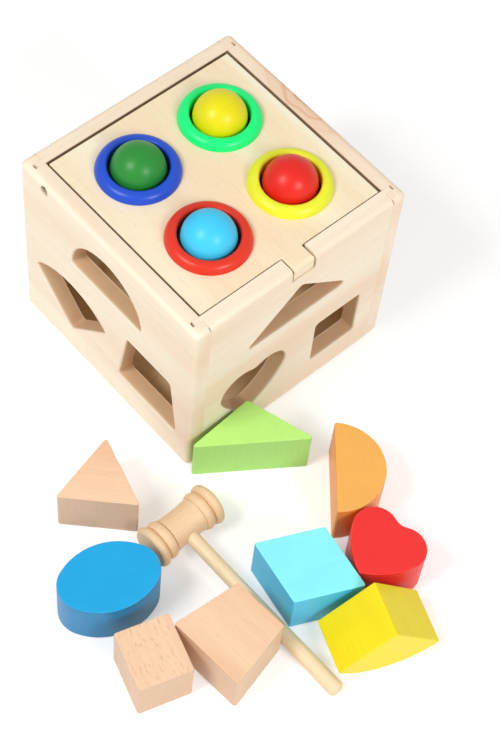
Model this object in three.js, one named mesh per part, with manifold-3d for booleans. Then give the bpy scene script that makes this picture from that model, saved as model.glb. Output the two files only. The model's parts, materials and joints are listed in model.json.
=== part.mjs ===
// Pounding cube: a wooden box whose hinged lid holds four balls in snap-in rings. Three of its
// walls are cut out for nine blocks, which lie beside the box with a turned mallet.
// Millimetres, +Z up. The origin is the middle of the box's underside. The front, with the
// lid's lift tab, faces -Y, and the lid hinges along X near the back.

import * as THREE from 'three';
import { mergeVertices } from 'three/addons/utils/BufferGeometryUtils.js';
import { RoundedBoxGeometry } from 'three/addons/geometries/RoundedBoxGeometry.js';
import Module from 'manifold-3d';

const wasm = await Module();
wasm.setup();

// Box
const BOX_W = 150;
const BOX_D = 147;
const BOX_H = 134;
const WALL = 10;
const BOX_EDGE_R = 3.4;
const GLUE_GAP = 0.08;
const TONGUE_T = 3;
const TONGUE_REACH = 5;
const TONGUE_END_GAP = 1.5;
const BOTTOM_T = 6;
const REBATE = 5;

// Lid and its hinge
const LID_T = 9.5;
const LID_SIDE_GAP = 1.5;
const LID_FRONT_GAP = 0.8;
const LID_SWING_GAP = 0.4;
const LID_EASE = 0.6;
const TAB_W = 14.2;
const TAB_GAP = 1.2;
const TAB_SEAT_GAP = 0.3;
const TAB_INSET = 0.4;
const HINGE_BACK = 10;
const PIN_D = 5.6;
const PIN_FIT = 0.3;
const PIN_RECESS = 2.6;
const PIN_REACH = 14;

// Rings, grips and balls
const RING_PITCH = 58;
const BALL_D = 30.6;
const BALL_GAP = 1.7;
const SLEEVE_T = 1.7;
const SLEEVE_FIT = 0.3;
const FLANGE_W = 5.1;
const FLANGE_LIP = 0.5;
const FLANGE_H = 5.2;
const FLANGE_FULLNESS = 0.76;
const FLANGE_R = 1.5;
const RING_SEAT_GAP = 0.1;
const SNAP_H = 2.6;
const SNAP_OUT = 0.8;
const GRIP_D = 3;
const GRIP_SQUEEZE = 0.9;
const GRIP_FIT = 0.25;
const GRIP_DROP = 4.5;

// Blocks and the cut-outs they pass through
const BLOCK_T = 32;
const BLOCK_EASE = 0.8;
const BLOCK_CORNER_R = 1.3;
const HOLE_CLEARANCE = 1.3;
const HOLE_EASE = 0.7;
const SEMICIRCLE_R = 28.5;
const QUARTER_R = 42;
const TRAPEZOID_LONG = 47.4;
const TRAPEZOID_SHORT = 34.4;
const TRAPEZOID_H = 41.2;
const FLAT_TRIANGLE_W = 71.4;
const FLAT_TRIANGLE_H = 28.4;
const EVEN_TRIANGLE_SIDE = 46.6;
const RECTANGLE_W = 31.4;
const RECTANGLE_H = 35;
const RHOMBUS_SIDE = 40.8;
const RHOMBUS_ANGLE = 105.5;
const OVAL_W = 57.2;
const OVAL_H = 40.8;
const OVAL_END_R = 15.4;
const HEART_LOBE_R = 12.8;
const HEART_LOBE_OUT = 9.7;
const HEART_TIP_DROP = 26.4;
const HEART_NOTCH_R = 9;
const HEART_SIDE_R = 46;

// Where the cut-outs sit on their walls
const SIDE_HOLE_TOP = 15.5;
const FRONT_HOLE_TOP = 20;
const LOWER_HOLE_BASE = 21;
const TRAPEZOID_HOLE_BASE = 23.8;
const HEART_HOLE_BASE = 18.5;
const SIDE_HOLE_MARGIN = 12;
const FRONT_HOLE_MARGIN = 23;

// Mallet
const HEAD_L = 46;
const CAP_D = 25.4;
const CAP_L = 6.2;
const CAP_GROOVE_D = 18.8;
const BEAD_D = 23.6;
const BEAD_L = 6.4;
const NECK_D = 21;
const WAIST_D = 19.6;
const CAP_FACE_DOME = 0.5;
const HANDLE_L = 126;
const HANDLE_D = 8.2;
const GRIP_END_D = 9.4;
const HANDLE_TIP_R = 2.6;
const SOCKET_FIT = 0.3;
const SOCKET_PAST_AXIS = 4;

// How the loose pieces lie on the floor
const MALLET_OUT = 31.1;
const MALLET_AHEAD = 31;
const MALLET_TURN = 1.7;
const LAY = {
  flatTriangle: { heading: -34.4, bearing: -90, gap: 1.2, slip: 29.2 },
  evenTriangle: { heading: -45.8, bearing: 91.7, gap: 5.2, slip: 16.9 },
  trapezoid: { heading: -86, bearing: 181.7, gap: 0.6, slip: 6.9 },
  rectangle: { heading: -17.2, bearing: 163, gap: 0.6, slip: -4.2 },
  oval: { heading: -19.5, bearing: 83, gap: 8.2, slip: -3.2 },
  rhombus: { heading: -25, bearing: 1.7, gap: 2.8, slip: -6.5 },
  heart: { heading: -80.2, bearing: -9.5, gap: 0.6, slip: -8.4 },
  semicircle: { heading: 228.7, bearing: 81, gap: 1, slip: 1 },
  quarter: { heading: -111.2, bearing: 1.7, gap: 0.3, slip: -54 },
};

// Faceting
const FACET_SAG = 0.07;
const RING_SIDES = 26;
const BALL_SIDES = 20;
const HEAD_SIDES = 22;
const ROD_SIDES = 14;
const ROUND_STEPS = 3;
const GRIP_STEPS = 6;
const DOME_STEPS = 4;
const BEAD_STEPS = 5;
const CAP_STEPS = 6;
const CUT_PAST = 2;

const FLIP = 180;
const QUARTER_TURN = 90;
const rad = THREE.MathUtils.degToRad;

const lidBackGap = Math.hypot(HINGE_BACK, LID_T / 2) - HINGE_BACK + LID_SWING_GAP;
const lidW = BOX_W - 2 * (WALL + LID_SIDE_GAP);
const lidFrontY = -BOX_D / 2 + WALL + LID_FRONT_GAP;
const lidBackY = BOX_D / 2 - WALL - lidBackGap;
const hingeY = lidBackY - HINGE_BACK;
const hingeZ = BOX_H - LID_T / 2;
const pinBoreR = PIN_D / 2 + PIN_FIT;

const boreR = BALL_D / 2 + BALL_GAP;
const sleeveR = boreR + SLEEVE_T;
const flangeR = sleeveR + FLANGE_W;
const lidHoleR = sleeveR + SLEEVE_FIT;
const gripR = BALL_D / 2 - GRIP_SQUEEZE + GRIP_D / 2;

// Solids

/** A closed solid from a geometry, ready to be joined or cut. */
function solid(geometry) {
  const bare = geometry.clone();
  bare.deleteAttribute('normal');
  bare.deleteAttribute('uv');
  const merged = mergeVertices(bare, 1e-4);
  const vertProperties = Float32Array.from(merged.attributes.position.array);
  const triVerts = Uint32Array.from(merged.index.array);
  return new wasm.Manifold(new wasm.Mesh({ numProp: 3, vertProperties, triVerts }));
}

/** The geometry of a solid. */
function geometryOf(body) {
  const cut = body.getMesh();
  const geometry = new THREE.BufferGeometry();
  geometry.setAttribute('position', new THREE.BufferAttribute(cut.vertProperties, cut.numProp));
  geometry.setIndex(new THREE.BufferAttribute(cut.triVerts, 1));
  geometry.computeVertexNormals();
  return geometry;
}

/** A box solid between two corners. */
function slab(low, high) {
  const size = high.map((value, i) => value - low[i]);
  const geometry = new THREE.BoxGeometry(...size);
  geometry.translate(...low.map((value, i) => value + size[i] / 2));
  return solid(geometry);
}

/** A rod solid along X, from x0 to x1, with its axis at y and z. */
function rodAlongX(radius, x0, x1, y, z) {
  const geometry = new THREE.CylinderGeometry(radius, radius, x1 - x0, ROD_SIDES);
  geometry.rotateZ(rad(QUARTER_TURN));
  geometry.translate((x0 + x1) / 2, y, z);
  return solid(geometry);
}

/** A named mesh with its own material. */
function part(name, geometry, color, roughness, metalness = 0) {
  const material = new THREE.MeshStandardMaterial({ color, roughness, metalness });
  const mesh = new THREE.Mesh(geometry, material);
  mesh.name = name;
  return mesh;
}

// Outlines: arcs in order, joined by straight lines, with angles in radians.
// An arc that turns back, with its end before its start, is hollow.

/** Points along an outline that is grown outwards by a distance. */
function trace(arcs, grow = 0) {
  const points = [];
  for (const { x, y, r, from, to } of arcs) {
    const radius = to > from ? r + grow : r - grow;
    const step = 2 * Math.acos(1 - FACET_SAG / radius);
    const count = 2 * Math.ceil(Math.abs(to - from) / step / 2);
    for (let i = 0; i <= count; i += 1) {
      const angle = from + ((to - from) * i) / count;
      const point = new THREE.Vector2(x + radius * Math.cos(angle), y + radius * Math.sin(angle));
      const last = points.at(-1);
      if (!last || last.distanceTo(point) > FACET_SAG) points.push(point);
    }
  }
  if (points.at(-1).distanceTo(points[0]) < FACET_SAG) points.pop();
  return points;
}

/** How far an outline, grown by a distance, reaches from its origin towards an angle in degrees. */
function reachOf(arcs, angle, grow = 0) {
  const ahead = new THREE.Vector2(Math.cos(rad(angle)), Math.sin(rad(angle)));
  return Math.max(...trace(arcs, grow).map((point) => point.dot(ahead)));
}

/** The rounded corners of a polygon given anticlockwise by its sharp corners. */
function roundedPolygon(points, r = BLOCK_CORNER_R) {
  const count = points.length;
  return points.map(([px, py], i) => {
    const [ax, ay] = points[(i + count - 1) % count];
    const [bx, by] = points[(i + 1) % count];
    const arriving = Math.atan2(py - ay, px - ax);
    const leaving = Math.atan2(by - py, bx - px);
    const turn = THREE.MathUtils.euclideanModulo(leaving - arriving, 2 * Math.PI);
    const from = arriving - rad(QUARTER_TURN);
    const middle = from + turn / 2;
    const inset = r / Math.cos(turn / 2);
    const x = px - inset * Math.cos(middle);
    const y = py - inset * Math.sin(middle);
    return { x, y, r, from, to: from + turn };
  });
}

/** Half a disc, its straight side on the X axis. */
function semicircleOutline() {
  const r = BLOCK_CORNER_R;
  const out = Math.sqrt((SEMICIRCLE_R - r) ** 2 - r ** 2);
  const lift = Math.atan2(r, out);
  return [
    { x: out, y: r, r, from: rad(-QUARTER_TURN), to: lift },
    { x: 0, y: 0, r: SEMICIRCLE_R, from: lift, to: Math.PI - lift },
    { x: -out, y: r, r, from: Math.PI - lift, to: rad(QUARTER_TURN + FLIP) },
  ];
}

/** A quarter of a disc, its right angle at the origin and its arc upwards. */
function quarterOutline() {
  const r = BLOCK_CORNER_R;
  const low = rad(QUARTER_TURN / 2);
  const high = Math.PI - low;
  const lean = Math.asin(r / (QUARTER_R - r));
  const tip = (angle) => [(QUARTER_R - r) * Math.cos(angle), (QUARTER_R - r) * Math.sin(angle)];
  const [rightX, rightY] = tip(low + lean);
  const [leftX, leftY] = tip(high - lean);
  return [
    { x: 0, y: r * Math.SQRT2, r, from: -high, to: -low },
    { x: rightX, y: rightY, r, from: -low, to: low + lean },
    { x: 0, y: 0, r: QUARTER_R, from: low + lean, to: high - lean },
    { x: leftX, y: leftY, r, from: high - lean, to: Math.PI + low },
  ];
}

/** An isosceles triangle with its base on the X axis. */
function triangleOutline(width, height) {
  return roundedPolygon([[-width / 2, 0], [width / 2, 0], [0, height]]);
}

/** A trapezoid with its long side on the X axis. */
function trapezoidOutline() {
  const long = TRAPEZOID_LONG / 2;
  const short = TRAPEZOID_SHORT / 2;
  return roundedPolygon([[-long, 0], [long, 0], [short, TRAPEZOID_H], [-short, TRAPEZOID_H]]);
}

/** An upright rectangle standing on the X axis. */
function rectangleOutline() {
  const half = RECTANGLE_W / 2;
  return roundedPolygon([[-half, 0], [half, 0], [half, RECTANGLE_H], [-half, RECTANGLE_H]]);
}

/** A rhombus standing on the X axis, with its angle at the lower left. */
function rhombusOutline() {
  const lean = RHOMBUS_SIDE * Math.cos(rad(RHOMBUS_ANGLE));
  const height = RHOMBUS_SIDE * Math.sin(rad(RHOMBUS_ANGLE));
  const left = -(RHOMBUS_SIDE + lean) / 2;
  const right = left + RHOMBUS_SIDE;
  return roundedPolygon([[left, 0], [right, 0], [right + lean, height], [left + lean, height]]);
}

/** An oval of four arcs about the origin. */
function ovalOutline() {
  const r = OVAL_END_R;
  const endX = OVAL_W / 2 - r;
  const rise = OVAL_H / 2 - r;
  const sideY = (endX ** 2 - rise ** 2) / (2 * rise);
  const sideR = OVAL_H / 2 + sideY;
  const turn = Math.atan2(sideY, endX);
  return [
    { x: endX, y: 0, r, from: -turn, to: turn },
    { x: 0, y: -sideY, r: sideR, from: turn, to: Math.PI - turn },
    { x: -endX, y: 0, r, from: Math.PI - turn, to: Math.PI + turn },
    { x: 0, y: sideY, r: sideR, from: Math.PI + turn, to: 2 * Math.PI - turn },
  ];
}

/** A heart with its lobes level with the origin, bowed sides and its tip below. */
function heartOutline() {
  const r = HEART_LOBE_R;
  const out = HEART_LOBE_OUT;
  const drop = HEART_TIP_DROP;
  const tipR = BLOCK_CORNER_R;
  const sideR = HEART_SIDE_R;
  const span = Math.hypot(out, drop);
  const along = ((sideR - tipR) ** 2 - (sideR - r) ** 2 + span ** 2) / (2 * span);
  const off = Math.sqrt((sideR - tipR) ** 2 - along ** 2);
  const sideX = (along * out - off * drop) / span;
  const sideY = (along * drop + off * out) / span - drop;
  const low = Math.atan2(-drop - sideY, -sideX);
  const high = Math.atan2(-sideY, out - sideX);
  const notchY = Math.sqrt((r + HEART_NOTCH_R) ** 2 - out ** 2);
  const notch = Math.atan2(notchY, -out);
  return [
    { x: 0, y: -drop, r: tipR, from: -Math.PI - low, to: low },
    { x: sideX, y: sideY, r: sideR, from: low, to: high },
    { x: out, y: 0, r, from: high, to: notch },
    { x: 0, y: notchY, r: HEART_NOTCH_R, from: notch - Math.PI, to: -notch },
    { x: -out, y: 0, r, from: Math.PI - notch, to: Math.PI - high },
    { x: -sideX, y: sideY, r: sideR, from: Math.PI - high, to: Math.PI - low },
  ];
}

/** An outline moved by x and y. */
function moved(arcs, x, y) {
  return arcs.map((arc) => ({ ...arc, x: arc.x + x, y: arc.y + y }));
}

/** An outline moved so that the middle of its width and height is the origin. */
function centred(arcs) {
  const [right, up, left, down] = [0, 1, 2, 3].map((i) => reachOf(arcs, i * QUARTER_TURN));
  return moved(arcs, (left - right) / 2, (down - up) / 2);
}

const outlines = {
  semicircle: semicircleOutline(),
  quarter: quarterOutline(),
  trapezoid: centred(trapezoidOutline()),
  flatTriangle: centred(triangleOutline(FLAT_TRIANGLE_W, FLAT_TRIANGLE_H)),
  evenTriangle: centred(triangleOutline(EVEN_TRIANGLE_SIDE, (EVEN_TRIANGLE_SIDE * Math.sqrt(3)) / 2)),
  rectangle: centred(rectangleOutline()),
  rhombus: centred(rhombusOutline()),
  oval: ovalOutline(),
  heart: heartOutline(),
};

// Walls: each is made as seen from outside, X to the right, Y up and its outer face at Z = 0.

/** The whole box's eased outer form, seen from one wall. */
function envelope(across, depth) {
  const geometry = new RoundedBoxGeometry(across, BOX_H, depth, ROUND_STEPS, BOX_EDGE_R);
  geometry.translate(0, BOX_H / 2, -depth / 2);
  return solid(geometry);
}

/** A cut-out right through a wall, with an eased edge on the outer face. */
function holeCutter(arcs) {
  const shape = new THREE.Shape(trace(arcs, HOLE_CLEARANCE));
  const through = new THREE.ExtrudeGeometry(shape, { depth: WALL + CUT_PAST, bevelEnabled: false });
  through.translate(0, 0, -WALL - CUT_PAST);
  const rim = new THREE.ExtrudeGeometry(shape, {
    depth: CUT_PAST,
    bevelThickness: HOLE_EASE,
    bevelSize: HOLE_EASE,
    bevelSegments: 1,
  });
  return solid(through).add(solid(rim));
}

/** An outline placed on a wall by its lowest point and its left or right edge or middle. */
function onWall(arcs, { base, top, left, right, middle }) {
  const reach = [0, 1, 2, 3].map((i) => reachOf(arcs, i * QUARTER_TURN, HOLE_CLEARANCE));
  const y = base === undefined ? top - reach[1] : base + reach[3];
  let x = middle;
  if (left !== undefined) x = left + reach[2];
  if (right !== undefined) x = right - reach[0];
  return moved(arcs, x, y);
}

const rebateSlot = (half) => slab(
  [-half, -CUT_PAST, -WALL - CUT_PAST],
  [half, BOTTOM_T + GLUE_GAP, -WALL + REBATE],
);

/** A side wall: full depth, grooved for the front and back walls' tongues. */
function sideWall(holes) {
  const half = BOX_D / 2;
  const inner = half - WALL;
  let body = slab([-half, 0, -WALL], [half, BOX_H, 0]);
  for (const end of [-1, 1]) {
    const edges = [end * (inner - GLUE_GAP), end * (inner + TONGUE_T + GLUE_GAP)].sort((a, b) => a - b);
    const groove = slab(
      [edges[0], -CUT_PAST, -WALL - CUT_PAST],
      [edges[1], BOX_H + CUT_PAST, -WALL + TONGUE_REACH + TONGUE_END_GAP],
    );
    body = body.subtract(groove);
  }
  body = body.subtract(rebateSlot(inner + REBATE + GLUE_GAP));
  for (const hole of holes) body = body.subtract(holeCutter(hole));
  return body.intersect(envelope(BOX_D, BOX_W));
}

/** A front or back wall: between the side walls, with a tongue at each end. */
function endWall(holes) {
  const half = BOX_W / 2 - WALL - GLUE_GAP;
  const tongue = BOX_W / 2 - WALL + TONGUE_REACH;
  let body = slab([-half, 0, -WALL], [half, BOX_H, 0]);
  body = body.add(slab([-tongue, 0, -WALL], [tongue, BOX_H, -WALL + TONGUE_T]));
  body = body.subtract(rebateSlot(tongue + CUT_PAST));
  for (const hole of holes) body = body.subtract(holeCutter(hole));
  return body.intersect(envelope(BOX_W, BOX_D));
}

/** The hinge pin's bore through a side wall. */
function wallPinBore(x) {
  const bore = rodAlongX(pinBoreR, -WALL - CUT_PAST, CUT_PAST, 0, 0);
  return bore.rotate([0, -QUARTER_TURN, 0]).translate([x, hingeZ, 0]);
}

const sideEdge = BOX_D / 2 - SIDE_HOLE_MARGIN;
const frontEdge = BOX_W / 2 - FRONT_HOLE_MARGIN;

function leftWall() {
  const holes = [
    onWall(outlines.semicircle, { middle: 0, top: BOX_H - SIDE_HOLE_TOP }),
    onWall(outlines.quarter, { left: -sideEdge, base: LOWER_HOLE_BASE }),
    onWall(outlines.trapezoid, { right: sideEdge, base: TRAPEZOID_HOLE_BASE }),
  ];
  return sideWall(holes).subtract(wallPinBore(-hingeY));
}

function rightWall() {
  const holes = [
    onWall(outlines.oval, { middle: 0, top: BOX_H - SIDE_HOLE_TOP }),
    onWall(outlines.evenTriangle, { left: -sideEdge, base: LOWER_HOLE_BASE }),
    onWall(outlines.rhombus, { right: sideEdge, base: LOWER_HOLE_BASE }),
  ];
  return sideWall(holes).subtract(wallPinBore(hingeY));
}

function frontWall() {
  const holes = [
    onWall(outlines.flatTriangle, { middle: 0, top: BOX_H - FRONT_HOLE_TOP }),
    onWall(outlines.heart, { left: -frontEdge, base: HEART_HOLE_BASE }),
    onWall(outlines.rectangle, { right: frontEdge, base: LOWER_HOLE_BASE }),
  ];
  const half = TAB_W / 2 + TAB_GAP;
  const notch = slab(
    [-half, BOX_H - LID_T - TAB_SEAT_GAP, -WALL - CUT_PAST],
    [half, BOX_H + CUT_PAST, CUT_PAST],
  );
  return endWall(holes).subtract(notch);
}

/** The bottom panel, let into the walls' rebates and flush with their lower edges. */
function bottomPanel() {
  const halfW = BOX_W / 2 - WALL + REBATE - GLUE_GAP;
  const halfD = BOX_D / 2 - WALL + REBATE - GLUE_GAP;
  return slab([-halfW, -halfD, 0], [halfW, halfD, BOTTOM_T]);
}

/** The box's fixed pieces. */
function makeBox() {
  const box = new THREE.Group();
  const faces = [
    { name: 'front_wall', body: frontWall(), x: 0, y: -BOX_D / 2, turn: 0, color: 0xeed7b1 },
    { name: 'right_wall', body: rightWall(), x: BOX_W / 2, y: 0, turn: QUARTER_TURN, color: 0xecd3ab },
    { name: 'back_wall', body: endWall([]), x: 0, y: BOX_D / 2, turn: FLIP, color: 0xebd2aa },
    { name: 'left_wall', body: leftWall(), x: -BOX_W / 2, y: 0, turn: -QUARTER_TURN, color: 0xf0d9b4 },
  ];
  for (const { name, body, x, y, turn, color } of faces) {
    const face = new THREE.Group();
    face.position.set(x, y, 0);
    face.rotation.z = rad(turn);
    const wall = part(name, geometryOf(body), color, 0.55);
    wall.rotation.x = rad(QUARTER_TURN);
    face.add(wall);
    box.add(face);
  }
  box.add(part('bottom_panel', geometryOf(bottomPanel()), 0xe3c796, 0.6));
  for (const [side, sign] of [['left', -1], ['right', 1]]) {
    const outer = BOX_W / 2 - PIN_RECESS;
    const inner = lidW / 2 - PIN_REACH;
    const length = outer - inner;
    const geometry = new THREE.CylinderGeometry(PIN_D / 2, PIN_D / 2, length, ROD_SIDES);
    const pin = part(`hinge_pin_${side}`, geometry, 0xc9a877, 0.5);
    pin.rotation.z = rad(QUARTER_TURN);
    pin.position.set((sign * (outer + inner)) / 2, hingeY, hingeZ);
    box.add(pin);
  }
  return box;
}

// Lid: made with its top face at Z = 0, in the box's X and Y.

const ringPlaces = [
  { name: 'green', ring: 0x2ef282, held: 'yellow', ball: 0xf0e424, x: 1, y: 1 },
  { name: 'blue', ring: 0x2f57d2, held: 'green', ball: 0x389e42, x: -1, y: 1 },
  { name: 'yellow', ring: 0xf4f236, held: 'red', ball: 0xf0382c, x: 1, y: -1 },
  { name: 'red', ring: 0xee3024, held: 'light_blue', ball: 0x46c8fc, x: -1, y: -1 },
].map((ring) => ({
  ...ring,
  x: (ring.x * RING_PITCH) / 2,
  y: (ring.y * RING_PITCH) / 2 + (lidFrontY + lidBackY) / 2,
}));

function lidPanel() {
  const half = lidW / 2;
  const tabY = -BOX_D / 2 + TAB_INSET;
  const shape = new THREE.Shape();
  shape.moveTo(-half, lidBackY);
  shape.lineTo(-half, lidFrontY);
  shape.lineTo(-TAB_W / 2, lidFrontY);
  shape.lineTo(-TAB_W / 2, tabY);
  shape.lineTo(TAB_W / 2, tabY);
  shape.lineTo(TAB_W / 2, lidFrontY);
  shape.lineTo(half, lidFrontY);
  shape.lineTo(half, lidBackY);
  for (const { x, y } of ringPlaces) {
    const hole = new THREE.Path();
    hole.absarc(x, y, lidHoleR, 0, 2 * Math.PI, true);
    shape.holes.push(hole);
  }
  const geometry = new THREE.ExtrudeGeometry(shape, {
    depth: LID_T - 2 * LID_EASE,
    bevelThickness: LID_EASE,
    bevelSize: LID_EASE,
    bevelOffset: -LID_EASE,
    bevelSegments: 1,
    curveSegments: RING_SIDES / 2,
  });
  geometry.translate(0, 0, LID_EASE - LID_T);
  const outer = new RoundedBoxGeometry(BOX_W, BOX_D, BOX_H, ROUND_STEPS, BOX_EDGE_R);
  outer.translate(0, 0, -BOX_H / 2);
  let body = solid(geometry).intersect(solid(outer));
  for (const sign of [-1, 1]) {
    const ends = [sign * (half + CUT_PAST), sign * (half - PIN_REACH - PIN_FIT)].sort((a, b) => a - b);
    body = body.subtract(rodAlongX(pinBoreR, ends[0], ends[1], hingeY, -LID_T / 2));
  }
  return body;
}

/** Points of a quarter circle about (x, y), starting at an angle in degrees. */
function quarterRound(x, y, r, from) {
  const points = [];
  for (let i = 0; i <= ROUND_STEPS; i += 1) {
    const angle = rad(from + (QUARTER_TURN * i) / ROUND_STEPS);
    points.push(new THREE.Vector2(x + r * Math.cos(angle), y + r * Math.sin(angle)));
  }
  return points;
}

/** A turned solid about Z from a profile of radius and height, anticlockwise. */
function turned(profile, sides) {
  const geometry = new THREE.LatheGeometry(profile, sides);
  geometry.rotateX(rad(QUARTER_TURN));
  return geometry;
}

const gripZ = -GRIP_DROP;

/** A snap-in ring: a domed flange on the lid, a sleeve with a groove and a snap bead below. */
function ringProfile() {
  const point = (r, z) => new THREE.Vector2(r, z);
  const crown = point(boreR + FLANGE_R, FLANGE_H);
  const lip = point(flangeR, FLANGE_LIP);
  const shoulder = crown.clone().lerp(point(flangeR, FLANGE_H), FLANGE_FULLNESS);
  const dome = new THREE.QuadraticBezierCurve(lip, shoulder, crown).getPoints(DOME_STEPS);
  const grooveR = gripR + GRIP_D / 2 + GRIP_FIT;
  const grooveH = GRIP_D / 2 + GRIP_FIT;
  const tail = -LID_T - SNAP_H;
  return [
    point(boreR, tail),
    point(sleeveR, tail),
    point(sleeveR + SNAP_OUT, -LID_T - SNAP_H / 2),
    point(sleeveR + SNAP_OUT, -LID_T - SLEEVE_FIT),
    point(sleeveR, -LID_T - SLEEVE_FIT),
    point(sleeveR, RING_SEAT_GAP),
    point(flangeR, RING_SEAT_GAP),
    ...dome.slice(0, -1),
    ...quarterRound(crown.x, crown.y - FLANGE_R, FLANGE_R, QUARTER_TURN),
    point(boreR, gripZ + grooveH),
    point(grooveR, gripZ + grooveH),
    point(grooveR, gripZ - grooveH),
    point(boreR, gripZ - grooveH),
    point(boreR, tail),
  ];
}

/** The hinged lid with its rings, grips and balls. */
function makeLid() {
  const lid = new THREE.Group();
  lid.position.z = BOX_H;
  lid.add(part('lid_panel', geometryOf(lidPanel()), 0xf5e3c0, 0.5));
  const touch = BALL_D / 2 + GRIP_D / 2 + GRIP_FIT;
  const ballZ = gripZ + Math.sqrt(touch ** 2 - gripR ** 2);
  for (const { name, ring, held, ball, x, y } of ringPlaces) {
    const seat = new THREE.Group();
    seat.position.set(x, y, 0);
    seat.add(part(`ring_${name}`, turned(ringProfile(), RING_SIDES), ring, 0.35));
    const band = new THREE.TorusGeometry(gripR, GRIP_D / 2, GRIP_STEPS, RING_SIDES);
    const grip = part(`grip_${name}`, band, 0xd9d6cc, 0.6);
    grip.position.z = gripZ;
    seat.add(grip);
    const sphere = new THREE.SphereGeometry(BALL_D / 2, BALL_SIDES, BALL_SIDES / 2);
    sphere.rotateX(rad(QUARTER_TURN));
    const knocked = part(`ball_${held}`, sphere, ball, 0.3);
    knocked.position.z = ballZ;
    seat.add(knocked);
    lid.add(seat);
  }
  return lid;
}

// Mallet: its head is turned about X, and its handle runs along -Y from the head's middle.

/** The head's radius from its middle out to one end, as points of radius and distance. */
function headHalfProfile() {
  const point = (r, x) => new THREE.Vector2(r, x);
  const bulge = (x0, x1, edge, crown, count) => {
    const points = [];
    for (let i = 1; i < count; i += 1) {
      const share = i / count;
      const rise = Math.sqrt(1 - (2 * share - 1) ** 2);
      points.push(point(edge + (crown - edge) * rise, x0 + (x1 - x0) * share));
    }
    return points;
  };
  const capX = HEAD_L / 2 - CAP_L;
  const beadX = capX - BEAD_L;
  const waist = [0, 0.5, 0.8].map((share) => {
    const radius = WAIST_D + (NECK_D - WAIST_D) * share ** 2;
    return point(radius / 2, beadX * share);
  });
  return [
    ...waist,
    point(NECK_D / 2, beadX),
    ...bulge(beadX, capX, CAP_GROOVE_D / 2, BEAD_D / 2, BEAD_STEPS),
    point(CAP_GROOVE_D / 2, capX),
    ...bulge(capX, HEAD_L / 2, CAP_GROOVE_D / 2, CAP_D / 2, CAP_STEPS),
    point(CAP_GROOVE_D / 2, HEAD_L / 2 - CAP_FACE_DOME),
    point(0, HEAD_L / 2),
  ];
}

function malletHead() {
  const half = headHalfProfile();
  const mirrored = half.slice(1).map(({ x, y }) => new THREE.Vector2(x, -y)).reverse();
  const geometry = new THREE.LatheGeometry([...mirrored, ...half], HEAD_SIDES);
  geometry.rotateZ(rad(-QUARTER_TURN));
  const reach = CAP_D / 2 + CUT_PAST;
  const socket = rodAlongX(HANDLE_D / 2 + SOCKET_FIT, -reach, SOCKET_PAST_AXIS + SOCKET_FIT, 0, 0);
  return solid(geometry).subtract(socket.rotate([0, 0, QUARTER_TURN]));
}

/** The handle: a rod that swells towards its rounded end. */
function malletHandle() {
  const point = (r, y) => new THREE.Vector2(r, y);
  const grip = GRIP_END_D / 2;
  const swellStart = CAP_D / 2;
  const profile = [
    point(0, -SOCKET_PAST_AXIS),
    point(HANDLE_D / 2, -SOCKET_PAST_AXIS),
    point(HANDLE_D / 2, swellStart),
    point((HANDLE_D + GRIP_END_D) / 4, HANDLE_L / 2),
    ...quarterRound(grip - HANDLE_TIP_R, HANDLE_L - HANDLE_TIP_R, HANDLE_TIP_R, 0),
    point(0, HANDLE_L),
  ];
  const geometry = new THREE.LatheGeometry(profile, ROD_SIDES);
  geometry.rotateX(rad(FLIP));
  return geometry;
}

/** The mallet lying on its head's caps and the end of its handle. */
function makeMallet() {
  const mallet = new THREE.Group();
  mallet.add(part('mallet_head', geometryOf(malletHead()), 0xe6c29a, 0.5));
  mallet.add(part('mallet_handle', malletHandle(), 0xeacf9e, 0.5));
  mallet.position.set(-MALLET_OUT, -MALLET_AHEAD, CAP_D / 2);
  mallet.rotation.order = 'ZXY';
  mallet.rotation.z = rad(MALLET_TURN);
  mallet.rotation.x = Math.asin((CAP_D - GRIP_END_D) / 2 / (HANDLE_L - HANDLE_TIP_R));
  return mallet;
}

// Blocks

/** A block of an outline, lying on Z = 0 with eased edges. */
function blockGeometry(arcs) {
  const geometry = new THREE.ExtrudeGeometry(new THREE.Shape(trace(arcs)), {
    depth: BLOCK_T - 2 * BLOCK_EASE,
    bevelThickness: BLOCK_EASE,
    bevelSize: BLOCK_EASE,
    bevelOffset: -BLOCK_EASE,
    bevelSegments: 2,
  });
  geometry.translate(0, 0, BLOCK_EASE);
  return geometry;
}

/** The quarter block rolled onto its round side, with its right angle upwards and its length along X. */
function restingQuarter() {
  const geometry = blockGeometry(outlines.quarter);
  geometry.translate(0, 0, -BLOCK_T / 2);
  const axes = [[0, -1, 0], [0, 0, -1], [1, 0, 0]].map((axis) => new THREE.Vector3(...axis));
  geometry.applyMatrix4(new THREE.Matrix4().makeBasis(...axes));
  geometry.translate(0, 0, QUARTER_R);
  return geometry;
}

/** A piece on the floor that others are laid beside: its outline, place and heading in degrees. */
function lain(arcs, x, y, heading) {
  return { arcs, x, y, heading };
}

/** A piece laid beside another: a gap away towards a bearing, and slipped sideways to its left. */
function beside(other, arcs, { heading, bearing, gap, slip }) {
  const reach = (piece, angle) => reachOf(piece.arcs, angle - piece.heading);
  const away = reach(other, bearing) + gap + reach({ arcs, heading }, bearing + FLIP);
  const angle = rad(bearing);
  const x = other.x + away * Math.cos(angle) - slip * Math.sin(angle);
  const y = other.y + away * Math.sin(angle) + slip * Math.cos(angle);
  return lain(arcs, x, y, heading);
}

/** A rectangle outline about the origin, for what isn't a block. */
function footprint(width, depth) {
  const [x, y] = [width / 2, depth / 2];
  return roundedPolygon([[-x, -y], [x, -y], [x, y], [-x, y]]);
}

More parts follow.
